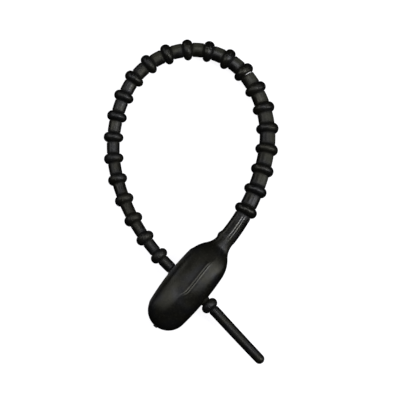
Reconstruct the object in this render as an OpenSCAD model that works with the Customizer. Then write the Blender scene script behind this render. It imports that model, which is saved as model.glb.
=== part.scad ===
// Silicone cable tie, closed into a loop and lying flat.
// One soft moulding: a bead-shaped head, a tapering strap with raised rings, and a plain tail.
// The strap runs round the loop, back through the head, and a ring outside the head holds it.
// +X is right, +Y is towards the far end of the loop, +Z is up, and the tie lies on Z = 0.

/* [Head] */
// Width of the head at its middle
head_w = 7.15; // [6.8:0.05:8]
// Length of the head from its middle to its round end
head_end_len = 8.4; // [8:0.05:9.5]
// Radius of the long, slightly barrelled side of the head
head_side_r = 46; // [40:1:60]
// Radius of the shoulder that turns in towards the strap
shoulder_r = 5.2; // [4.8:0.1:5.6]
// Distance from the head's middle to the centre of the shoulder's curve
shoulder_at = 3.8; // [3.4:0.1:4.2]
// Straight length of neck beyond the hollow
neck_run = 0.4; // [0.2:0.1:1]
// Radius of the hollow where the shoulder runs out into the strap
neck_fillet_r = 3.3; // [2.6:0.1:3.6]
// Diameter of the moulding's gate mark on the round end
gate_d = 0.7; // [0.5:0.1:1]
// Height of the gate mark
gate_h = 0.15; // [0.1:0.05:0.3]
// Width of the mould's parting line along the head
parting_w = 0.14; // [0.1:0.02:0.2]
// Height of the mould's parting line above the head's surface
parting_h = 0.06; // [0.04:0.01:0.1]

/* [Strap] */
// Diameter of the strap where it leaves the head
strap_d_start = 2.74; // [2.6:0.02:3]
// Diameter of the strap at the end of its tail
strap_d_end = 1.6; // [1.4:0.02:1.8]
// Length of the tail beyond the last ring
tail_len = 12.4; // [8:0.1:30]
// Bend where the tail leaves the last ring, in degrees
tail_kink = -3.5; // [-7:0.5:0]
// Bend along the tail, in degrees
tail_bend = 1.5; // [0:0.5:12]

/* [Rings] */
// Number of rings on the strap
ring_count = 26; // [22:1:28]
// Height of a ring above the strap's surface
ring_rise = 0.55; // [0.4:0.05:0.65]
// Radius of a ring's round bead
bead_r = 0.78; // [0.6:0.02:0.8]
// How much the ring spacing widens towards both ends of the strap, which stretch when it is pulled tight
ring_stretch = 0.14; // [0:0.01:0.18]
// Where along the strap the rings stand closest together, from 0 at the head to 1 at the tail
ring_close_at = 0.4; // [0.2:0.05:0.5]
// Length of the curved neck from the head's straight stub to the first ring
neck_curve_len = 5.4; // [5:0.1:6.2]
// Clear gap between the strap and the passage through the head
passage_gap = 0.12; // [0.06:0.01:0.16]
// Clear gap between the head and the ring that bears on it
seat_gap = 0.3; // [0.1:0.05:0.5]

/* [Loop] */
// Direction of the head's axis, in degrees from +X
head_heading = 51; // [49:0.2:53]
// Direction of the passage through the head, in degrees from +X
passage_heading = -44.5; // [-47:0.5:-41.5]
// Length of the loop's right side, which bends gently
right_len = 13.1; // [12.4:0.1:13.8]
// Length of the loop's right crown
right_crown_len = 11.7; // [11:0.1:12.4]
// Length of the loop's left crown
left_crown_len = 10.9; // [10.2:0.1:11.7]
// Length of the last bend before the strap runs straight into the head
entry_len = 17.5; // [16.6:0.1:18.4]
// Straight length of strap between the loop's last bend and the head
entry_run = 1; // [0.6:0.1:1.6]
// Bends of the loop's six curved stretches from the neck round to the head, in degrees
loop_bends = [30.4, 47, 61.2, 52.3, 40.6, 32.9];
// Length over which the strap sinks from the head's middle to lie on its rings
sink_len = 20; // [16:1:26]

/* [Hidden] */
$fn = 96;
rubber_black = [0.09, 0.09, 0.09];

head_r = head_w / 2;
head_at = [-0.38, -13.75];

// The head's outline is four arcs that meet without a corner: round end, side, shoulder, neck hollow.
side_sink = head_side_r - head_r;
end_rest = head_side_r - head_end_len;
end_at = (side_sink * side_sink - end_rest * end_rest) / (2 * end_rest);
end_r = head_end_len - end_at;
shoulder_rise = sqrt(pow(head_side_r - shoulder_r, 2) - pow(shoulder_at, 2)) - side_sink;
fillet_rise = strap_d_start / 2 + neck_fillet_r;
fillet_at = shoulder_at + sqrt(pow(shoulder_r + neck_fillet_r, 2) - pow(fillet_rise - shoulder_rise, 2));
end_turn = -atan2(end_at, side_sink);
side_turn = atan2(shoulder_at, shoulder_rise + side_sink);
shoulder_turn = atan2(fillet_at - shoulder_at, fillet_rise - shoulder_rise);
// Points of an arc of radius r about c, from one angle to another
function arc(c, r, from, to, n) = [for (i = [0:n]) let (a = from + (to - from) * i / n) c + r * [cos(a), sin(a)]];

// The route is a chain of stretches, each a straight or an arc, from the head's middle and back to it.
neck_len = fillet_at + neck_run;
joint_lap = 0.2;
joint_step = 0.02;
collar = 0.9;
entry_straight = head_r + entry_run;
// Displacement along a stretch of length l that starts in direction h and bends by t
function chord(t) = t == 0 ? 1 : 2 * sin(t / 2) / (t * PI / 180);
function step(h, l, t) = l * chord(t) * [cos(h + t / 2), sin(h + t / 2)];
function sum(v, n) = n <= 0 ? 0 : v[n - 1] + sum(v, n - 1);

// The six bends are scaled together so that the strap comes back in the passage's direction.
turn = 360 + passage_heading - head_heading;
bend_scale = turn / sum(loop_bends, len(loop_bends));
bends = concat(0, bend_scale * loop_bends, 0);
headings = [for (i = [0:len(bends)]) head_heading + sum(bends, i)];

// The first and fifth curves take the lengths that bring the strap back to the head's middle.
known = step(headings[0], neck_len, 0)
    + step(headings[2], right_len, bends[2])
    + step(headings[3], right_crown_len, bends[3])
    + step(headings[4], left_crown_len, bends[4])
    + step(headings[6], entry_len, bends[6])
    + step(headings[7], entry_straight, 0);
away = step(headings[1], 1, bends[1]);
back = step(headings[5], 1, bends[5]);
det = away.x * back.y - away.y * back.x;
away_len = (back.x * known.y - back.y * known.x) / det;
back_len = (away.y * known.x - away.x * known.y) / det;
lengths = [neck_len, away_len, right_len, right_crown_len, left_crown_len, back_len, entry_len,
    entry_straight];
loop_len = sum(lengths, len(lengths));

// Place and direction at a distance s along the route; beyond the head it runs straight on.
function stretch_of(s, i = 0) =
    i < len(lengths) - 1 && s > lengths[i] ? stretch_of(s - lengths[i], i + 1) : [i, s];
function corner(i) = i == 0 ? head_at : corner(i - 1) + step(headings[i - 1], lengths[i - 1], bends[i - 1]);
corners = [for (i = [0:len(lengths) - 1]) corner(i)];
function heading(s) = let (p = stretch_of(s)) headings[p[0]] + bends[p[0]] * p[1] / lengths[p[0]];
function place(s) = let (p = stretch_of(s), t = bends[p[0]] * p[1] / lengths[p[0]])
    corners[p[0]] + step(headings[p[0]], p[1], t);

// Rings: the last one bears on the head, and two are out of sight inside it.
first_ring = neck_len + neck_curve_len;
last_ring = loop_len + head_r + bead_r + seat_gap;
function swell(x) = pow(x - ring_close_at, 3) + pow(ring_close_at, 3);
function ring_s(i) = let (x = (i - 1) / (ring_count - 1))
    first_ring + (last_ring - first_ring) * (x + ring_stretch * (swell(x) - x * swell(1)));
rings_inside = [ring_count - 2, ring_count - 1];
strap_len = last_ring + tail_len;
function taper(s) = max(0, s - neck_len) / (strap_len - neck_len);
function strap_r(s) = (strap_d_start + (strap_d_end - strap_d_start) * taper(s)) / 2;

// Height of the strap's middle: level near the head, lower where the rings lie on the ground.
sink_from = first_ring;
sink_back = ring_s(ring_count - 3);
function ease(x) = x <= 0 ? 1 : x >= 1 ? 0 : (1 + cos(180 * x)) / 2;
function height(s) = let (rest = strap_r(s) + ring_rise)
    rest + (head_r - rest) * max(ease((s - sink_from) / sink_len), ease((sink_back - s) / sink_len));
function spot(s) = [place(s).x, place(s).y, height(s)];
function slope(s) = atan(height(s + 0.5) - height(s - 0.5));
function way(s) = [cos(heading(s)) * cos(slope(s)), sin(heading(s)) * cos(slope(s)), sin(slope(s))];

// Half of the head's outline with its stub of neck, the axis up the Y axis, grown outwards by grow
module head_half(grow = 0) {
    polygon(concat(
        arc([0, -end_at], end_r + grow, -90, end_turn, 14),
        arc([-side_sink, 0], head_side_r + grow, end_turn, side_turn, 8),
        arc([shoulder_rise, shoulder_at], shoulder_r + grow, side_turn, shoulder_turn, 8),
        arc([fillet_rise, fillet_at], neck_fillet_r - grow, shoulder_turn + 180, 180, 8),
        [[strap_d_start / 2 + grow, neck_len], [0, neck_len]]
    ));
}

// Puts children that point up the Z axis along the route's direction at distance s
module along(s) {
    translate(spot(s)) rotate([0, 90 - slope(s), heading(s)]) children();
}

// The head's bead, turned round its own axis
module head_bead() {
    rotate_extrude() head_half();
}

// Fine raised line round the head where the mould's halves met
module parting_line() {
    rotate([90, 0, 90]) linear_extrude(parting_w, center = true) {
        head_half(parting_h);
        mirror([1, 0]) head_half(parting_h);
    }
}

// Small raised mark where the silicone entered the mould
module gate_mark() {
    translate([0, 0, -head_end_len - gate_h]) cylinder(h = 1, d = gate_d);
}

// Half section of a bead round a strap of radius r, grown outwards by gap
module bead_half(r, gap = 0) {
    intersection() {
        translate([r + ring_rise - bead_r, 0]) circle(bead_r + gap);
        translate([0, -bead_r - gap]) square([r + ring_rise + gap, 2 * (bead_r + gap)]);
    }
}

// A ring on its own straight, stiff collar of strap
module ring(r) {
    rotate_extrude() {
        bead_half(r);
        translate([0, -collar]) square([r, 2 * collar]);
    }
}

// Straight or bent length of strap over a chord of length c, from the origin along +X
module link(c, t, r) {
    if (abs(t) < 0.5) {
        rotate([0, 90, 0]) cylinder(h = c, r = r);
    } else {
        bend_r = c / 2 / sin(abs(t) / 2);
        mirror([0, t < 0 ? 1 : 0, 0])
            translate([c / 2, bend_r * cos(t / 2), 0])
            rotate(-90 - abs(t) / 2)
            rotate_extrude(angle = abs(t), $fn = 360)
            translate([bend_r, 0]) circle(r, $fn = 48);
    }
}

// Link from one point to another, bent by the turn between its two ends
module link_between(from, to, t, r) {
    run = to - from;
    translate(from) rotate([0, -atan2(run.z, norm([run.x, run.y])), atan2(run.y, run.x)]) link(norm(run), t, r);
}

// The passage through the head: the strap's own form inside it, grown by the gap
module passage() {
    bore_r = strap_r(loop_len) + passage_gap;
    along(loop_len) rotate_extrude() {
        translate([0, -head_w]) square([bore_r, 2 * head_w]);
        for (i = rings_inside) translate([0, ring_s(i) - loop_len]) bead_half(strap_r(ring_s(i)), passage_gap);
    }
}

// The head with its passage
module head() {
    difference() {
        translate([head_at.x, head_at.y, head_r]) rotate([0, 90, head_heading]) {
            head_bead();
            parting_line();
            gate_mark();
        }
        passage();
    }
}

// The curved neck, from the stub on the head round to the first ring
module neck() {
    link_between(
        spot(neck_len) - joint_lap * way(neck_len),
        spot(first_ring) - (collar - joint_lap) * way(first_ring),
        heading(first_ring) - heading(neck_len),
        strap_r(first_ring) - joint_step
    );
}

// Rings and the links between them, round the loop and through the head
module ringed_strap() {
    for (i = [1:ring_count]) along(ring_s(i)) ring(strap_r(ring_s(i)));
    for (i = [1:ring_count - 1]) {
        a = ring_s(i);
        b = ring_s(i + 1);
        inset = collar - joint_lap;
        link_between(spot(a) + inset * way(a), spot(b) - inset * way(b), heading(b) - heading(a),
            strap_r(b) - joint_step);
    }
}

// The plain tail with its round end
module tail() {
    tail_r = strap_r(last_ring + tail_len / 2);
    tip_r = tail_r - joint_step;
    tip_len = 2;
    bent_from = collar - joint_lap;
    bent_len = tail_len - tip_len - bent_from;
    translate(spot(last_ring) + bent_from * way(last_ring)) rotate(passage_heading + tail_kink + tail_bend / 2) {
        link(bent_len, tail_bend, tail_r);
        translate([bent_len, 0, 0]) rotate([0, 90, tail_bend / 2]) rotate_extrude() {
            translate([0, -joint_lap]) square([tip_r, tip_len - tip_r + joint_lap]);
            translate([0, tip_len - tip_r]) intersection() {
                circle(tip_r);
                translate([0, -joint_lap]) square(tip_r + joint_lap);
            }
        }
    }
}

// The whole tie, one moulding
module cable_tie() {
    color(rubber_black) {
        head();
        neck();
        ringed_strap();
        tail();
    }
}

cable_tie();
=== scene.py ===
# %% [markdown]
# A cable tie in soft black silicone.
# It is one moulding: a bead-shaped head, a thin neck, a strap with round rings that grows thinner,
# and a plain tail. The strap runs round a loop and back through a hole in the head.
# The lesson makes it as a factory and a hand would: first straight, then bent round.

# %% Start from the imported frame
import math

import bmesh
import bpy
from mathutils import Matrix, Vector


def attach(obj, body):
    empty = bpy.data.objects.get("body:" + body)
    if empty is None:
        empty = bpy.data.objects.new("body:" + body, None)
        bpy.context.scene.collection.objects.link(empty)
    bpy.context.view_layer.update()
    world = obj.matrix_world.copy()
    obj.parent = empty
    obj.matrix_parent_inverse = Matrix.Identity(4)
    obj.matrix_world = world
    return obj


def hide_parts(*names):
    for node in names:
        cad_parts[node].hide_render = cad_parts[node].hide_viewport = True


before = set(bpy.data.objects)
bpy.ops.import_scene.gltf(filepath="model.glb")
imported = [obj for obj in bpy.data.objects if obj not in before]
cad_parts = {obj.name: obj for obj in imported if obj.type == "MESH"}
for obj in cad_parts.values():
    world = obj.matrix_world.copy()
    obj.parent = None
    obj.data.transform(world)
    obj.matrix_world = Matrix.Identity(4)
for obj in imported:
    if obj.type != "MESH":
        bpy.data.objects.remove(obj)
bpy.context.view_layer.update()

mm = 0.001
tiny = 1e-9

# %% [markdown]
# The sizes come first, because every shape below is worked out from them.
# They are the same driving sizes as the solid part has, so the dressed tie fits the frame.

# %% Sizes of the head
head_w = 7.15 * mm
head_end_len = 8.4 * mm
head_side_r = 46 * mm
shoulder_r = 5.2 * mm
shoulder_at = 3.8 * mm
hollow_r = 3.3 * mm
neck_run = 0.4 * mm
head_r = head_w / 2
print("head:", round(head_w / mm, 2), "mm wide")

# %% Sizes of the strap, its rings and its tail
strap_r_start = 1.37 * mm
strap_r_end = 0.8 * mm
tail_len = 12.4 * mm
ring_count = 26
ring_rise = 0.55 * mm
bead_r = 0.78 * mm
ring_stretch = 0.14
ring_close_at = 0.4
neck_curve_len = 5.4 * mm
passage_gap = 0.12 * mm
seat_gap = 0.3 * mm
print("strap in mm, neck to tail:", round(2 * strap_r_start / mm, 2), "to", round(2 * strap_r_end / mm, 2))

# %% The loop: where the strap goes
head_at = Vector((-0.38 * mm, -13.75 * mm, 0))
head_heading = math.radians(51)
passage_heading = math.radians(-44.5)
right_len = 13.1 * mm
right_crown_len = 11.7 * mm
left_crown_len = 10.9 * mm
entry_len = 17.5 * mm
entry_run = 1 * mm
loop_bends = (30.4, 47, 61.2, 52.3, 40.6, 32.9)
sink_len = 20 * mm
tail_kink = math.radians(-3.5)
tail_bend = math.radians(1.5)
print("the strap leaves the head at", round(math.degrees(head_heading), 1), "degrees from +X")

# %% [markdown]
# The head's outline is four arcs that meet without a corner: the round end, a long side that swells a
# little, the shoulder, and the hollow of the neck. Two arcs meet smoothly where their centres and the
# meeting point lie on one line, so each meeting point is a short sum and not a guess.

# %% Where the head's four arcs meet
side_sink = head_side_r - head_r
end_rest = head_side_r - head_end_len
end_at = (side_sink**2 - end_rest**2) / (2 * end_rest)
end_r = head_end_len - end_at
shoulder_rise = math.sqrt((head_side_r - shoulder_r) ** 2 - shoulder_at**2) - side_sink
hollow_rise = strap_r_start + hollow_r
hollow_at = shoulder_at + math.sqrt((shoulder_r + hollow_r) ** 2 - (hollow_rise - shoulder_rise) ** 2)
end_turn = -math.atan2(end_at, side_sink)
side_turn = math.atan2(shoulder_at, shoulder_rise + side_sink)
shoulder_turn = math.atan2(hollow_at - shoulder_at, hollow_rise - shoulder_rise)
neck_len = hollow_at + neck_run
print("neck starts", round(neck_len / mm, 2), "mm from the head's middle")

# %% [markdown]
# The route of the bent tie is a chain of straight runs and arcs. Each arc is given as a length and a
# bend, and two of the lengths are solved so that the strap comes back exactly to the head's middle.
# The route could be drawn by hand as a Bezier curve, but then it would close only by luck.

# %% One stretch of the route
def stretch(heading, length, bend):
    """The way from one end of a straight or an arc to its other end."""
    chord = length if abs(bend) < tiny else length * 2 * math.sin(bend / 2) / bend
    return Vector((math.cos(heading + bend / 2), math.sin(heading + bend / 2), 0)) * chord


# %% Solve the loop
full_turn = 2 * math.pi + passage_heading - head_heading
bends = [0] + [b * full_turn / sum(loop_bends) for b in loop_bends] + [0]
headings = [head_heading + sum(bends[:i]) for i in range(len(bends) + 1)]
entry_straight = head_r + entry_run
known = (
    stretch(headings[0], neck_len, 0)
    + stretch(headings[2], right_len, bends[2])
    + stretch(headings[3], right_crown_len, bends[3])
    + stretch(headings[4], left_crown_len, bends[4])
    + stretch(headings[6], entry_len, bends[6])
    + stretch(headings[7], entry_straight, 0)
)
away = stretch(headings[1], 1, bends[1])
back = stretch(headings[5], 1, bends[5])
share = away.x * back.y - away.y * back.x
away_len = (back.x * known.y - back.y * known.x) / share
back_len = (away.y * known.x - away.x * known.y) / share
crown_lens = [right_crown_len, left_crown_len]
lengths = [neck_len, away_len, right_len, *crown_lens, back_len, entry_len, entry_straight]
loop_len = sum(lengths)
corners = [head_at.copy()]
for heading, length, bend in zip(headings, lengths, bends):
    corners.append(corners[-1] + stretch(heading, length, bend))
print("loop", round(loop_len / mm, 2), "mm long")
print("closes within", round((corners[-1] - head_at).length / mm, 4), "mm")

# %% [markdown]
# Twenty-six rings sit on the strap. Pulled through the head, each of them can hold it there, and the strap
# grows thinner towards the tail, so that its thin end is easy to thread. The rings could be placed from a
# list, one number each, but one smooth rule puts them all in place: they stand closest a little before
# the strap's middle, and further apart towards both ends.

# %% Rings and taper along the strap
first_ring = neck_len + neck_curve_len
last_ring = loop_len + head_r + bead_r + seat_gap
strap_len = last_ring + tail_len


def swell(x):
    """Grows from 0 at the first ring, and is flattest where the rings stand closest."""
    return (x - ring_close_at) ** 3 + ring_close_at**3


def ring_place(i):
    """Distance of ring i from the head's middle along the straight tie."""
    x = i / (ring_count - 1)
    return first_ring + (last_ring - first_ring) * (x + ring_stretch * (swell(x) - x * swell(1)))


def strap_r(s):
    """Radius of the strap at distance s."""
    return strap_r_start + (strap_r_end - strap_r_start) * max(0, s - neck_len) / (strap_len - neck_len)


rings = [ring_place(i) for i in range(ring_count)]
print("rings from", round(rings[0] / mm, 2), "to", round(rings[-1] / mm, 2), "mm")
print("tie", round((head_end_len + strap_len) / mm, 1), "mm long before it is bent")

# %% [markdown]
# A body of revolution needs only half of its outline. A pen draws it, and each stroke is an operator:
# a walk extrudes the last point and moves it, and a swing spins it about a centre, which draws an arc.
# Points typed in by hand would do the same, but they would hide why the outline has its shape.

# %% A pen that draws a half outline in the XZ plane
class Pen:
    def __init__(self, x, z):
        self.bm = bmesh.new()
        self.tip = bmesh.ops.create_vert(self.bm, co=(x, 0, z))["vert"][0]

    def walk(self, x, z, steps=1):
        start = self.tip.co.copy()
        for i in range(steps):
            made = bmesh.ops.extrude_vert_indiv(self.bm, verts=[self.tip])
            self.tip = made["verts"][0]
            self.tip.co = start.lerp(Vector((x, 0, z)), (i + 1) / steps)

    def swing(self, x, z, turn, steps):
        """Turns the tip about (x, z); a positive turn goes from +X towards +Z."""
        made = bmesh.ops.spin(
            self.bm, geom=[self.tip], cent=(x, 0, z), axis=(0, -1, 0), angle=turn, steps=steps,
            use_duplicate=False
        )
        self.tip = [v for v in made["geom_last"] if isinstance(v, bmesh.types.BMVert)][0]


# %% [markdown]
# The pen starts at the gate mark, the little stub where silicone entered the mould on the round end.
# It follows the four arcs of the head to the neck. A sphere pulled long would be quicker, but its sides
# would not run nearly straight as those of the head do.

# %% Outline of the head
gate_r, gate_flat = 0.35 * mm, 0.28 * mm
gate_h, gate_edge = 0.16 * mm, 0.048 * mm
end_steps, side_steps, shoulder_steps, hollow_steps = 26, 44, 16, 12

gate_turn = math.asin(gate_r / end_r)
pen = Pen(-head_end_len - gate_h, 0)
pen.walk(-head_end_len - gate_h, gate_flat, 2)
pen.walk(-head_end_len - gate_h + gate_edge, gate_r)
pen.walk(-end_at - end_r * math.cos(gate_turn), gate_r, 2)
pen.swing(-end_at, 0, -(math.pi / 2 + end_turn - gate_turn), end_steps)
pen.swing(0, -side_sink, -(side_turn - end_turn), side_steps)
pen.swing(shoulder_at, shoulder_rise, -(shoulder_turn - side_turn), shoulder_steps)
pen.swing(hollow_at, hollow_rise, math.pi / 2 - shoulder_turn, hollow_steps)
print("head outline ends at", [round(v / mm, 3) for v in pen.tip.co], "mm")

# %% [markdown]
# Every ring is a round bead let into the strap. On each side of it the mould left a fine crease, a hair
# deeper than the strap, with a rounded foot. The same strokes draw each ring: a short walk down into the
# crease, three swings for foot, bead and foot, and a short walk up again. Separate torus meshes joined to
# a cone would look alike from afar, but would have no crease and no clean foot.

# %% Outline of the strap, ring by ring
foot_r = 0.07 * mm
crease_d, crease_run = 0.1 * mm, 0.1 * mm
foot_drop = foot_r + bead_r - ring_rise - crease_d
foot_out = math.sqrt((bead_r + foot_r) ** 2 - foot_drop**2)
foot_turn = math.atan2(foot_out, foot_drop)
bead_steps, foot_steps, link_steps = 14, 3, 5
neck_steps, tail_steps, tip_steps = 11, 24, 8

for i, s in enumerate(rings):
    r = strap_r(s)
    pen.walk(s - foot_out - crease_run, r, neck_steps if i == 0 else link_steps)
    pen.walk(s - foot_out, r - crease_d)
    pen.swing(s - foot_out, r - crease_d + foot_r, foot_turn, foot_steps)
    pen.swing(s, r + ring_rise - bead_r, -2 * foot_turn, bead_steps)
    pen.swing(s + foot_out, r - crease_d + foot_r, foot_turn, foot_steps)
    pen.walk(s + foot_out + crease_run, r)
tip_r = strap_r(strap_len)
pen.walk(strap_len - tip_r, tip_r, tail_steps)
pen.swing(strap_len - tip_r, 0, -math.pi / 2, tip_steps)
print("outline points:", len(pen.bm.verts))

# %% [markdown]
# Turned all the way round its axis, the outline becomes the straight tie. The turn is made in steps of
# unlike size: very fine ones beside the top and bottom lines, where the mould's two halves met and left
# a thin seam, and coarser ones elsewhere. A Screw modifier turns an outline too, but in even steps only.

# %% Turn the outline
column = math.radians(5.625)
fine = math.radians(1.9)
seam_steps = [fine, fine, column - 2 * fine]
plain_columns = 30
half_turn = seam_steps + [column] * plain_columns + seam_steps[::-1]
merge, sliver = 0.0005 * mm, 0.0002 * mm


def turn_round(bm, steps):
    """Spins the wire in bm about the X axis, one step after another, and closes it."""
    last = bm.verts[:] + bm.edges[:]
    for angle in steps:
        made = bmesh.ops.spin(
            bm, geom=last, cent=(0, 0, 0), axis=(1, 0, 0), angle=angle, steps=1, use_duplicate=False
        )
        last = made["geom_last"]
    bmesh.ops.remove_doubles(bm, verts=bm.verts, dist=merge)
    bmesh.ops.dissolve_degenerate(bm, edges=bm.edges, dist=sliver)
    bmesh.ops.recalc_face_normals(bm, faces=bm.faces)


turn_round(pen.bm, half_turn * 2)
straight = pen.bm
seam_part = straight.verts.layers.float.new("off_seam")
for v in straight.verts:
    v[seam_part] = math.atan2(abs(v.co.y), abs(v.co.z))
print("straight tie:", len(straight.verts), "points,", len(straight.faces), "faces")

# %% [markdown]
# The real head is not round. Seen from above its sides run nearly parallel, but seen from the side it
# is an oval that falls away to both ends, and its two halves meet in a low ridge, clean over the middle
# and worn blunt towards the round end.
# So each point keeps its place across the head, and its height is worked out again from two curves:
# how thick the head is at that place, and how its section bulges. The mould's halves did not meet quite
# in the middle, so the columns that carry the seam are first slid aside, and the ridge goes with them.
# On the side where the strap enters, a flat land stands a little proud round the hole.
# The head could be sculpted by eye instead, but a curve with a name can be measured and changed.

# %% The head's oval, its ridge and its land
oval_back, oval_front = 8.4 * mm, 8.1 * mm
oval_back_power = 0.6
thinnest_share = 0.5
bulge = 2.3
blend_power = 8
pinch, neck_pinch, pinch_fade = 0.32, 0.3, 2 * mm
ridge_blunt, blunt_to, blunt_fade = 0.2, -1.6 * mm, 2 * mm
land_edge = math.radians(22.5)
land_from, land_to, land_fade = -7.0 * mm, 5.6 * mm, 1.0 * mm
hair_turn = 1e-4


def smooth(x):
    """0 below 0, 1 above 1, and an easy slope between them."""
    x = min(1, max(0, x))
    return x * x * (3 - 2 * x)


# Places along the head in mm, and the degrees by which the seam leans from the middle there.
seam_leans = ((-7, -3), (-3, 4), (-1, 12), (4, 11), (6.2, 19), (8.6, 13), (13, 14))


def seam_lean(x):
    """How far the seam lies to the right of the middle at distance x, in radians."""
    at, lean = seam_leans[0]
    for next_at, next_lean in seam_leans[1:]:
        if x < next_at * mm:
            return math.radians(lean + (next_lean - lean) * smooth((x / mm - at) / (next_at - at)))
        at, lean = next_at, next_lean
    return math.radians(lean)


def half_thick(x, half_wide):
    """Half the head's thickness at x, where it is half_wide to each side."""
    if x < 0:
        oval = head_r * max(0, 1 - (x / oval_back) ** 2) ** oval_back_power
    else:
        oval = head_r * math.sqrt(max(0, 1 - (x / oval_front) ** 2))
        oval = (oval**blend_power + strap_r_start**blend_power) ** (1 / blend_power)
    return min(half_wide, max(oval, thinnest_share * half_wide))


def section(t, ridge_t, ridge_round, head_share, pinch_here):
    """Height of the section at t, -1 to 1 across it, as a share of half the head's thickness.

    The ridge stands at ridge_t, and ridge_round is how blunt it is."""
    power = 2 + (bulge - 2) * head_share
    off_ridge = abs((t - ridge_t) / (1 - ridge_t * t))
    off_ridge = math.sqrt(off_ridge**2 + ridge_round**2) - ridge_round * (1 - off_ridge)
    off_ridge /= math.sqrt(1 + ridge_round**2)
    return max(0, 1 - abs(t) ** power) ** (1 / power) - pinch_here * off_ridge * (1 - off_ridge)


# %% Give every point of the head its new height
for v in straight.verts:
    half_wide = math.hypot(v.co.y, v.co.z)
    if half_wide < tiny:
        continue
    angle = math.atan2(v.co.y, v.co.z)
    angle -= seam_lean(v.co.x) * math.cos(angle) ** 2
    v.co.y, v.co.z = half_wide * math.sin(angle), half_wide * math.cos(angle)
    if v.co.x > first_ring - bead_r:
        continue
    t = v.co.y / half_wide
    head_share = 1 - smooth((v.co.x - shoulder_at) / (neck_len - shoulder_at))
    pinch_here = neck_pinch + (pinch - neck_pinch) * head_share
    pinch_here *= smooth((first_ring - bead_r - v.co.x) / pinch_fade)
    ridge_round = ridge_blunt * (1 - smooth((v.co.x - blunt_to) / blunt_fade))
    side = math.copysign(1, v.co.z) if abs(v.co.z) > tiny else 0
    thick = half_thick(v.co.x, half_wide) if v.co.x < neck_len else half_wide
    ridge_t = -side * math.sin(seam_lean(v.co.x))
    v.co.z = side * thick * section(t, ridge_t, ridge_round, head_share, pinch_here)
    if t > 0 and v[seam_part] > math.pi / 2 - land_edge - hair_turn:
        here = smooth((v.co.x - land_from) / land_fade) * smooth((land_to - v.co.x) / land_fade)
        v.co.y *= 1 + here * (1 / t - 1)
print("head now", round(2 * max(v.co.z for v in straight.verts) / mm, 3), "mm thick")

# %% [markdown]
# The seam itself is a pair of hair-thin lips with a groove between them, proudest over the middle of the
# head and lost towards its ends. On the strap it is one low line. The neck also carries a fine raised
# line on each side of it, and a small lump of flash on the loop's inner side.
# Points are moved straight out from the axis, so the lines stay sharp. A bump in the finish could fake
# them, but would leave the outline bare where a line crosses it. Each point also keeps how much it stands
# proud, because the finish makes the lips and lines smoother and paints a highlight on them in paler
# colour.

# %% The mould's seam and the flash
lip_h, lip_out = 0.05 * mm, 2.5 * fine
groove_d = 0.06 * mm
strap_seam_h = 0.03 * mm
neck_line_at, neck_line_h, neck_line_fade = 2 * column, 0.07 * mm, 1 * mm
proud_from, proud_to, proud_fade = -1.2 * mm, 3.9 * mm, 1.2 * mm
flash_at, flash_len, flash_h, flash_spread = 9.5 * mm, 0.45 * mm, 0.26 * mm, 0.5

# %% Raise the seam, the fine lines and the flash
seam_mark = straight.verts.layers.float.new("seam_mark")
for v in straight.verts:
    x, y, z = v.co
    r = math.hypot(y, z)
    if r < tiny:
        continue
    off_seam = v[seam_part]
    proud = smooth((x - proud_from) / proud_fade + 1) * smooth((proud_to - x) / proud_fade + 1)
    move = 0
    if x < neck_len and off_seam < lip_out:
        move = (lip_h if off_seam > fine / 2 else -groove_d) * proud
        v[seam_mark] = math.copysign(proud, move)
    elif x > neck_len and off_seam < fine / 2:
        move = strap_seam_h
    if abs(off_seam - neck_line_at) < column / 2:
        on_neck = smooth((x - neck_len) / neck_line_fade + 1)
        on_neck *= smooth((first_ring - bead_r - x) / neck_line_fade)
        move += neck_line_h * on_neck
        v[seam_mark] = on_neck
    off_flash = (math.atan2(y, z) - math.pi / 2) / flash_spread
    move += flash_h * math.exp(-(((x - flash_at) / flash_len) ** 2) - off_flash**2)
    v.co.y *= 1 + move / r
    v.co.z *= 1 + move / r
print("points that stand proud:", sum(v[seam_mark] > 0.5 for v in straight.verts))

# %% [markdown]
# The hole through the head is cut while the tie is still straight, so that the cutter meets the head
# alone. The cutter is the strap's own form, a little larger, with a mouth that flares where the strap
# goes in. The hole could be built by hand, face by face, but a cut gives its edge exactly. Each cutter is
# one plain closed body and has a Boolean modifier of its own, the bore first and then a room for each
# ring inside, because a cutter that overlaps itself can spoil the whole cut.

# %% The cutters for the passage
bore_r = strap_r(loop_len) + passage_gap
mouth_r, mouth_len = 0.35 * mm, 0.5 * mm
cutter_reach = head_r + 2 * mm
room_r = bead_r + passage_gap
mouth_steps, room_steps, cutter_columns = 3, 24, 48


def room(s):
    """Half outline of the room that a ring at s needs inside the head."""
    middle = strap_r(s) + ring_rise - bead_r
    out = math.sqrt(room_r**2 - middle**2) if middle < 0 else room_r
    pen = Pen(s - loop_len - out, 0)
    pen.walk(s - loop_len - out, middle)
    pen.swing(s - loop_len, middle, -math.pi, room_steps)
    pen.walk(s - loop_len + out, 0)
    return pen


bore = Pen(-cutter_reach, 0)
bore.walk(-cutter_reach, bore_r + mouth_r)
bore.walk(-head_r, bore_r + mouth_r)
bore.walk(-head_r + mouth_len, bore_r, mouth_steps)
bore.walk(cutter_reach, bore_r)
bore.walk(cutter_reach, 0)
inner_rings = rings[-3:-1]
cutter_pens = [bore] + [room(s) for s in inner_rings]
across_head = Matrix.Rotation(passage_heading - head_heading, 3, "Z")
for pen in cutter_pens:
    turn_round(pen.bm, [math.radians(360 / cutter_columns)] * cutter_columns)
    bmesh.ops.rotate(pen.bm, verts=pen.bm.verts, cent=(0, 0, 0), matrix=across_head)
print("passage:", round(2 * bore_r / mm, 2), "mm wide, with room for", len(inner_rings), "rings")


# %% [markdown]
# Each modifier takes one cutter away from the head. They are worked out at once and the cutters deleted,
# because the tie is bent next, and a modifier that stayed on it would cut the bent tie instead.

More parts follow.
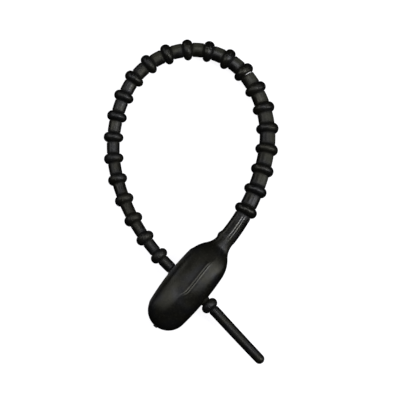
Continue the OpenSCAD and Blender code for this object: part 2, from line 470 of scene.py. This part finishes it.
# %% Cut the passage
def mesh_object(name, bm):
    mesh = bpy.data.meshes.new(name)
    bm.to_mesh(mesh)
    bm.free()
    made = bpy.data.objects.new(name, mesh)
    bpy.context.scene.collection.objects.link(made)
    return made


tie = mesh_object("tie", straight)
cutters = [mesh_object("cutter_" + str(i), pen.bm) for i, pen in enumerate(cutter_pens)]
for cutter in cutters:
    cut = tie.modifiers.new(cutter.name, "BOOLEAN")
    cut.operation = "DIFFERENCE"
    cut.solver = "MANIFOLD"
    cut.object = cutter
bpy.context.view_layer.update()
cut_mesh = bpy.data.meshes.new_from_object(tie.evaluated_get(bpy.context.evaluated_depsgraph_get()))
tie.modifiers.clear()
tie.data = cut_mesh
for cutter in cutters:
    bpy.data.objects.remove(cutter)
print("tie with its passage:", len(cut_mesh.vertices), "points")

# %% [markdown]
# Silicone is soft, so the strap simply bends to the loop. Every point keeps its place in its own slice of
# the strap, and the slice is set on the route: across the route stays level, and up stays square to it.
# The strap leaves the head at the height of its middle and sinks until its rings lie on the ground. A
# Curve modifier bends a mesh too, but here the same numbers that closed the loop and placed the rings
# also place every point.

# %% Place, heading and height along the route
sink_back = rings[ring_count - 4]
kink_len = 1.6 * mm


def ease(x):
    """1 below 0, 0 above 1, and half a wave between them."""
    return 1 if x <= 0 else 0 if x >= 1 else (1 + math.cos(math.pi * x)) / 2


def height(s):
    """Height of the strap's axis above the ground at distance s."""
    rest = strap_r(s) + ring_rise
    lift = max(ease((s - first_ring) / sink_len), ease((sink_back - s) / sink_len))
    return rest + (head_r - rest) * lift


def on_route(s):
    """Place on the ground plan and heading at distance s."""
    if s > last_ring:
        past = s - last_ring
        easing = min(1, past / kink_len)
        start = head_at + stretch(passage_heading, last_ring - loop_len, 0)
        bend = tail_kink * easing + tail_bend * past / tail_len
        kinked = tail_kink * (1 - 0.5 / max(1, past / kink_len))
        mean = passage_heading + kinked + tail_bend * past / tail_len / 2
        return start + stretch(mean, past, 0), passage_heading + bend
    left = s
    for heading, length, bend, corner in zip(headings, lengths, bends, corners):
        if left <= length or corner is corners[-2]:
            turned = bend * left / length
            return corner + stretch(heading, left, turned), heading + turned
        left -= length


print("axis above the ground in the head:", round(height(0) / mm, 2), "mm")
print("axis above the ground at the loop's far end:", round(height(loop_len / 2) / mm, 2), "mm")

# %% [markdown]
# The finish needs to know where it is on the strap, which a pattern in space can't tell. So each point
# gets two shares while its distance along the strap is still at hand. One says how dull it is: the
# creases beside the rings are dull, the rings that were drawn through the head are scuffed, and the neck,
# where fingers hold the tie, is a little polished. The other says where a sheen is painted on as a pale
# colour: on the links of the loop's first half, on their tops and their outer sides, where light falls.

# %% How dull the strap is, and where a sheen is painted on it
crease_w = 0.1 * mm
drawn_from, drawn_dull, exit_dull = 14, 0.14, 0.28
neck_polish = 0.17
# Where the painted sheen lies along the strap and how it leans outward and upward; the fade and the ring
# edge also shape the scuffs.
painted_sheen_from, painted_sheen_to, along_fade, ring_edge_fade = 1, 12, 6 * mm, 0.3 * mm
painted_sheen_middle, painted_sheen_outward, painted_sheen_upward = 0.4, 0.7, 2


def from_ring(s):
    """Distance from s to the middle of the nearest ring."""
    return min(abs(s - ring) for ring in rings)


def dull_share(s):
    """1 in the creases, less on the rings that were drawn through the head, below 0 on the neck."""
    beside = min(abs(abs(s - ring) - foot_out) for ring in rings)
    beside = min(beside, max(0, abs(s - loop_len - head_r) - seat_gap))
    corner = math.exp(-((beside / crease_w) ** 2)) * smooth((s - neck_len) / mm)
    on_ring = 1 - smooth((from_ring(s) - bead_r) / ring_edge_fade + 1)
    drawn = on_ring * smooth((s - rings[drawn_from]) / along_fade)
    scuff = max(drawn_dull, exit_dull * smooth((s - loop_len) / mm))
    polished = smooth((s - neck_len) / mm + 0.5) * smooth((first_ring - foot_out - s) / mm)
    return max(corner, drawn * scuff) - neck_polish * polished


def dust_and_sheen_share(s, outward, upward):
    """Painted sheen: the loop's first-half links, on top and towards the outside; the rings get none."""
    off_ring = smooth((from_ring(s) - foot_out) / ring_edge_fade)
    along = smooth((s - rings[painted_sheen_from]) / mm) * smooth((rings[painted_sheen_to] - s) / along_fade + 0.5)
    return off_ring * along * smooth(painted_sheen_middle + painted_sheen_outward * outward) * smooth(painted_sheen_upward * upward)


print("crease beside a ring:", round(dull_share(rings[5] + foot_out), 2), "dull")

# %% [markdown]
# Now every point goes to its place. Points closer together than the weld are merged first, because the
# cut leaves a few needle-thin faces at the edge of the hole, and those would catch the light wrongly.

# %% Bend the tie
probe = 0.5 * mm
weld = 0.002 * mm

bent = bmesh.new()
bent.from_mesh(tie.data)
bmesh.ops.remove_doubles(bent, verts=bent.verts, dist=weld)
bmesh.ops.dissolve_degenerate(bent, edges=bent.edges, dist=weld)
open_edges = [e for e in bent.edges if len(e.link_faces) != 2]
print("edges that are open or shared by more than two faces:", len(open_edges))
print("smallest face, square mm:", min(f.calc_area() for f in bent.faces) / mm**2)
dulled = bent.verts.layers.float.new("dulled")
# The painted sheen share is kept with each point, beside how dull it is.
painted_sheen = bent.verts.layers.float.new("painted_sheen")
for v in bent.verts:
    s, across, up = v.co
    v[dulled] = dull_share(s)
    off_axis = max(tiny, math.hypot(across, up))
    v[painted_sheen] = dust_and_sheen_share(s, -across / off_axis, up / off_axis)
    spot, heading = on_route(s)
    slope = math.atan((height(s + probe) - height(s - probe)) / (2 * probe))
    ahead = Vector((math.cos(heading), math.sin(heading), 0))
    aside = Vector((-math.sin(heading), math.cos(heading), 0))
    upward = Vector((0, 0, math.cos(slope))) - ahead * math.sin(slope)
    v.co = Vector((spot.x, spot.y, height(s))) + aside * across + upward * up
bmesh.ops.recalc_face_normals(bent, faces=bent.faces)
bent.to_mesh(tie.data)
bent.free()

# %% [markdown]
# The tie is shaded smooth, except where two faces meet at more than the angle below: that keeps the land,
# the creases and the mouth of the passage crisp. It rides on the frame's one body, stands for the plain
# solid there, and takes the silicone finish that is made below.

# %% Shade the tie and hang it on the frame
sharp_from = math.radians(38)
tie.data.shade_smooth()
tie.data.set_sharp_from_angle(angle=sharp_from)
low = [min(v.co[i] for v in tie.data.vertices) for i in range(3)]
high = [max(v.co[i] for v in tie.data.vertices) for i in range(3)]
print("tie box in mm:", [round(v / mm, 2) for v in (*low, *high)])

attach(tie, "root")
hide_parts("cable_tie")

# %% [markdown]
# Black silicone is dark right through, so it has hardly any colour of its own: what the eye sees is the
# soft, wide sheen of a surface that is neither glossy nor dull. A picture wrapped round the tie could
# carry such a finish, but noise in the object's own coordinates needs no unwrapping and has no seam.
# What is the same all over, such as the index of refraction, is set on the shader itself.

# %% The silicone
rubber = bpy.data.materials.new("black_silicone")
rubber.use_nodes = True
nodes, links = rubber.node_tree.nodes, rubber.node_tree.links
skin = nodes["Principled BSDF"]
skin.inputs["IOR"].default_value = 1.41
skin.inputs["Specular IOR Level"].default_value = 0.5
where = nodes.new("ShaderNodeTexCoord")
print("material:", rubber.name)

# %% [markdown]
# Four patterns of noise give all the unevenness: the grain that the mould left, the marks of handling,
# the slow change between warm and cool black, and the dust. Each has a size of its own, from about a
# fifth of a millimetre for the dust to four millimetres for the marks of handling.

# %% Patterns
def noise(waves, detail, name):
    """Noise with so many waves in a metre."""
    made = nodes.new("ShaderNodeTexNoise")
    made.name = name
    made.inputs["Scale"].default_value = waves
    made.inputs["Detail"].default_value = detail
    links.new(where.outputs["Object"], made.inputs["Vector"])
    return made.outputs["Fac"]


grain = noise(4200, 3, "mould_grain")
cloud = noise(260, 2, "handling_marks")
tint = noise(420, 1, "warm_and_cool")
dust = noise(5200, 2, "dust")
print("patterns:", [node.name for node in nodes if node.type == "TEX_NOISE"])

# %% [markdown]
# The finish is built up in layers. A share from 0 to 1 says where each layer lies; it comes from a
# pattern, or was kept with the tie's points. The same nodes could be dragged together by hand in the
# shader editor, but these few helpers do it the same way each time.

# %% Helpers that join shares and colours
def mark(name):
    """A share that is kept with the tie's points."""
    made = nodes.new("ShaderNodeAttribute")
    made.attribute_name = name
    return made.outputs["Fac"]


def spread(source, low, high, to_low, to_high, name):
    """Moves the range from low to high to a new range, and holds it there."""
    made = nodes.new("ShaderNodeMapRange")
    made.name = name
    for key, value in (("From Min", low), ("From Max", high), ("To Min", to_low), ("To Max", to_high)):
        made.inputs[key].default_value = value
    links.new(source, made.inputs["Value"])
    return made.outputs["Result"]


def add_times(source, factor, added, name, clamp=False):
    """added plus factor times source."""
    made = nodes.new("ShaderNodeMath")
    made.name = name
    made.operation = "MULTIPLY_ADD"
    made.use_clamp = clamp
    made.inputs[1].default_value = factor
    links.new(source, made.inputs[0])
    links.new(added, made.inputs[2])
    return made.outputs["Value"]


def mix(share, plain, other, name):
    """Goes from the colour plain to the colour other as share goes from 0 to 1."""
    made = nodes.new("ShaderNodeMix")
    made.name = name
    made.data_type = "RGBA"
    links.new(share, made.inputs["Factor"])
    for key, colour in (("A", plain), ("B", other)):
        if isinstance(colour, tuple):
            made.inputs[key].default_value = (*colour, 1)
        else:
            links.new(colour, made.inputs[key])
    return made.outputs["Result"]


# %% [markdown]
# The colour is nearly black, a little warm in some places and a little cool in others. Pale dust lies on
# it in fine specks. The same pale colour is painted on more thickly as a sheen where the painted sheen
# share says so, and the lips of the seam and the lines on the neck are painted paler, which stands for
# the highlight along them. Each layer is mixed over the one before.

# %% Colour, dust specks, painted sheen and painted highlights on the lips
warm_black, cool_black = (0.0048, 0.0046, 0.0035), (0.0038, 0.0039, 0.0042)
dust_and_sheen_colour, lip_highlight_colour = (0.05, 0.051, 0.039), (0.08, 0.08, 0.07)
tint_low, tint_high = 0.4, 0.6
speck_low, speck_high, speck_most = 0.58, 0.82, 0.4
painted_sheen_amount = 0.7

tint_share = spread(tint, tint_low, tint_high, 0, 1, "tint_share")
specks = spread(dust, speck_low, speck_high, 0, speck_most, "dust_and_sheen_share")
# Painted sheen: the pale colour, laid more thickly on the links' tops and outer sides, stands for light
# falling there.
dust_and_painted_sheen = add_times(mark("painted_sheen"), painted_sheen_amount, specks, "dust_and_painted_sheen", clamp=True)
colour = mix(tint_share, warm_black, cool_black, "base")
colour = mix(dust_and_painted_sheen, colour, dust_and_sheen_colour, "dusty_and_painted_sheen")
# Painted highlight: the seam's lips and the neck's lines are painted paler, for the light along them.
colour = mix(mark("seam_mark"), colour, lip_highlight_colour, "painted_lip_highlight")
print("dust is", round(dust_and_sheen_colour[0] / warm_black[0]), "times as pale as the silicone")

# %% [markdown]
# A thin pale streak lies in the colour on the far side of the loop, beside a ring. It is a stretched ball
# of colour: a Mapping node puts its middle on the strap and turns it, and a spherical gradient fades it
# out. A tiny mesh could stand there instead, but the streak has no thickness worth building.

# %% The pale streak
streak_at = (9.15 * mm, 20.58 * mm, 2.6 * mm)
streak_reach = (0.76 * mm, 0.068 * mm, 0.9 * mm)
streak_turn, streak_soft = math.radians(32.3), 0.3
streak_colour = (0.85, 0.85, 0.85)

streak_frame = nodes.new("ShaderNodeMapping")
streak_frame.vector_type = "TEXTURE"
streak_frame.inputs["Location"].default_value = streak_at
streak_frame.inputs["Rotation"].default_value = (0, 0, streak_turn)
streak_frame.inputs["Scale"].default_value = streak_reach
links.new(where.outputs["Object"], streak_frame.inputs["Vector"])
pale_streak = nodes.new("ShaderNodeTexGradient")
pale_streak.gradient_type = "SPHERICAL"
links.new(streak_frame.outputs["Vector"], pale_streak.inputs["Vector"])
streak_share = spread(pale_streak.outputs["Fac"], 0, streak_soft, 0, 1, "streak_share")
# A thin pale streak painted into the colour beside a ring.
colour = mix(streak_share, colour, streak_colour, "streaked")
links.new(colour, skin.inputs["Base Color"])
print("fleck:", round(2 * streak_reach[0] / mm, 2), "mm long")

# %% [markdown]
# The sheen changes slowly over the tie, from handling, and in fine specks, from dust. Creases and scuffed
# rings are duller, and the lips of the seam glossier. Where the colour is warm the sheen is a little warm
# too. A shallow bump is the grain that the mould left.

# %% Sheen and grain
sum_low, sum_high, rough_low, rough_high = 0.7, 1, 0.28, 0.45
dull_rough, lip_gloss, speck_rough = 0.55, -0.12, 0.7
warm_sheen, cool_sheen = (1, 0.99, 0.86), (0.95, 0.96, 1)
grain_strength, grain_depth = 0.35, 0.02 * mm

rough = add_times(dust, speck_rough, cloud, "clouds_and_specks")
rough = spread(rough, sum_low, sum_high, rough_low, rough_high, "sheen_range")
rough = add_times(mark("dulled"), dull_rough, rough, "duller")
rough = add_times(mark("seam_mark"), lip_gloss, rough, "glossier", clamp=True)
links.new(rough, skin.inputs["Roughness"])
links.new(mix(tint_share, warm_sheen, cool_sheen, "sheen_tint"), skin.inputs["Specular Tint"])

bump = nodes.new("ShaderNodeBump")
bump.inputs["Strength"].default_value = grain_strength
bump.inputs["Distance"].default_value = grain_depth
links.new(grain, bump.inputs["Height"])
links.new(bump.outputs["Normal"], skin.inputs["Normal"])
tie.data.materials.clear()
tie.data.materials.append(rubber)
print("finish:", rubber.name, "with", len(nodes), "nodes")

# %% [markdown]
# The floor is a pale sheet that glows faintly, like a light table, which is how such small black parts
# are shown without a shadow. Its glow is kept off the tie, so that the softboxes alone draw the sheen.

# %% Floor
floor_w, floor_drop = 6, 0.02 * mm
paper_colour, glow_colour, floor_glow = (0.3, 0.3, 0.31, 1), (0.975, 0.975, 0.99, 1), 0.93
bpy.ops.mesh.primitive_plane_add(size=floor_w, location=(0, 0, -floor_drop))
floor = bpy.context.object
floor.name = "floor"
paper = bpy.data.materials.new("paper")
paper.use_nodes = True
sheet = paper.node_tree.nodes["Principled BSDF"]
sheet.inputs["Base Color"].default_value = paper_colour
sheet.inputs["Roughness"].default_value = 1
sheet.inputs["Specular IOR Level"].default_value = 0
sheet.inputs["Emission Color"].default_value = glow_colour
sheet.inputs["Emission Strength"].default_value = floor_glow
floor.data.materials.append(paper)
floor.visible_glossy = False
floor.visible_diffuse = False
print("floor:", floor_w, "m wide,", round(floor_drop / mm, 3), "mm below the tie")

# %% [markdown]
# A black part shows little but the sheen of what stands round it, so the light is nine small softboxes
# instead of one large one, and each is placed for one streak. The key at the right draws the long light
# on the head and the neck, those at the left fill the head's other half, and the low ones at the sides
# and the back touch the flanks. All stand equally far from the tie, so each needs only a direction: how
# far it leans towards +X and towards +Y. Its width and length in metres and its power in watts follow.

# %% Lights
def softbox(name, place, size_x, size_y, watts):
    """A soft lamp at place that faces the origin."""
    data = bpy.data.lights.new(name, "AREA")
    data.shape = "RECTANGLE"
    data.size, data.size_y, data.energy = size_x, size_y, watts
    lamp = bpy.data.objects.new(name, data)
    bpy.context.scene.collection.objects.link(lamp)
    lamp.location = place
    lamp.rotation_mode = "QUATERNION"
    lamp.rotation_quaternion = (-Vector(place)).to_track_quat("-Z", "Y")
    lamp.visible_camera = False


lamp_far = 0.4
softboxes = (
    ("right_key", 0.49, -0.12, 0.13, 0.13, 0.62),
    ("right_side", 0.82, -0.22, 0.13, 0.2, 0.28),
    ("right_low", 0.97, -0.12, 0.13, 0.2, 0.11),
    ("back_right", 0.6, 0.52, 0.13, 0.13, 0.1),
    ("top_fill", 0.04, 0.26, 0.13, 0.13, 0.27),
    ("left_fill", -0.3, 0.0, 0.13, 0.13, 0.15),
    ("left_key", -0.64, 0.17, 0.13, 0.13, 0.22),
    ("left_side", -0.84, 0.27, 0.13, 0.13, 0.09),
    ("back_left", -0.68, 0.65, 0.12, 0.12, 0.09),
)
for name, toward_x, toward_y, size_x, size_y, watts in softboxes:
    up = math.sqrt(1 - toward_x**2 - toward_y**2)
    softbox(name, (lamp_far * toward_x, lamp_far * toward_y, lamp_far * up), size_x, size_y, watts)
print("softboxes:", [row[0] for row in softboxes])

world = bpy.data.worlds.new("studio")
bpy.context.scene.world = world
world.use_nodes = True
world.node_tree.nodes["Background"].inputs["Strength"].default_value = 0

# %% [markdown]
# The camera looks down from well above through a long lens, which keeps the loop's outline true. It
# stands a little to the near side, so that a sliver of each ring's near face shows.

# %% Camera
view_w = 64 * mm
camera_h = 0.6
camera_data = bpy.data.cameras.new("camera")
camera_data.lens = camera_data.sensor_width * camera_h / view_w
camera = bpy.data.objects.new("camera", camera_data)
bpy.context.scene.collection.objects.link(camera)
camera_tilt = math.radians(8)
aim = Vector((1.42 * mm, 0.17 * mm, 2 * mm))
camera.location = aim + Vector((0, -math.sin(camera_tilt), math.cos(camera_tilt))) * camera_h
camera.rotation_euler = (camera_tilt, 0, 0)
bpy.context.scene.camera = camera
bpy.context.scene.view_settings.view_transform = "Standard"
print("lens:", round(camera_data.lens), "mm")
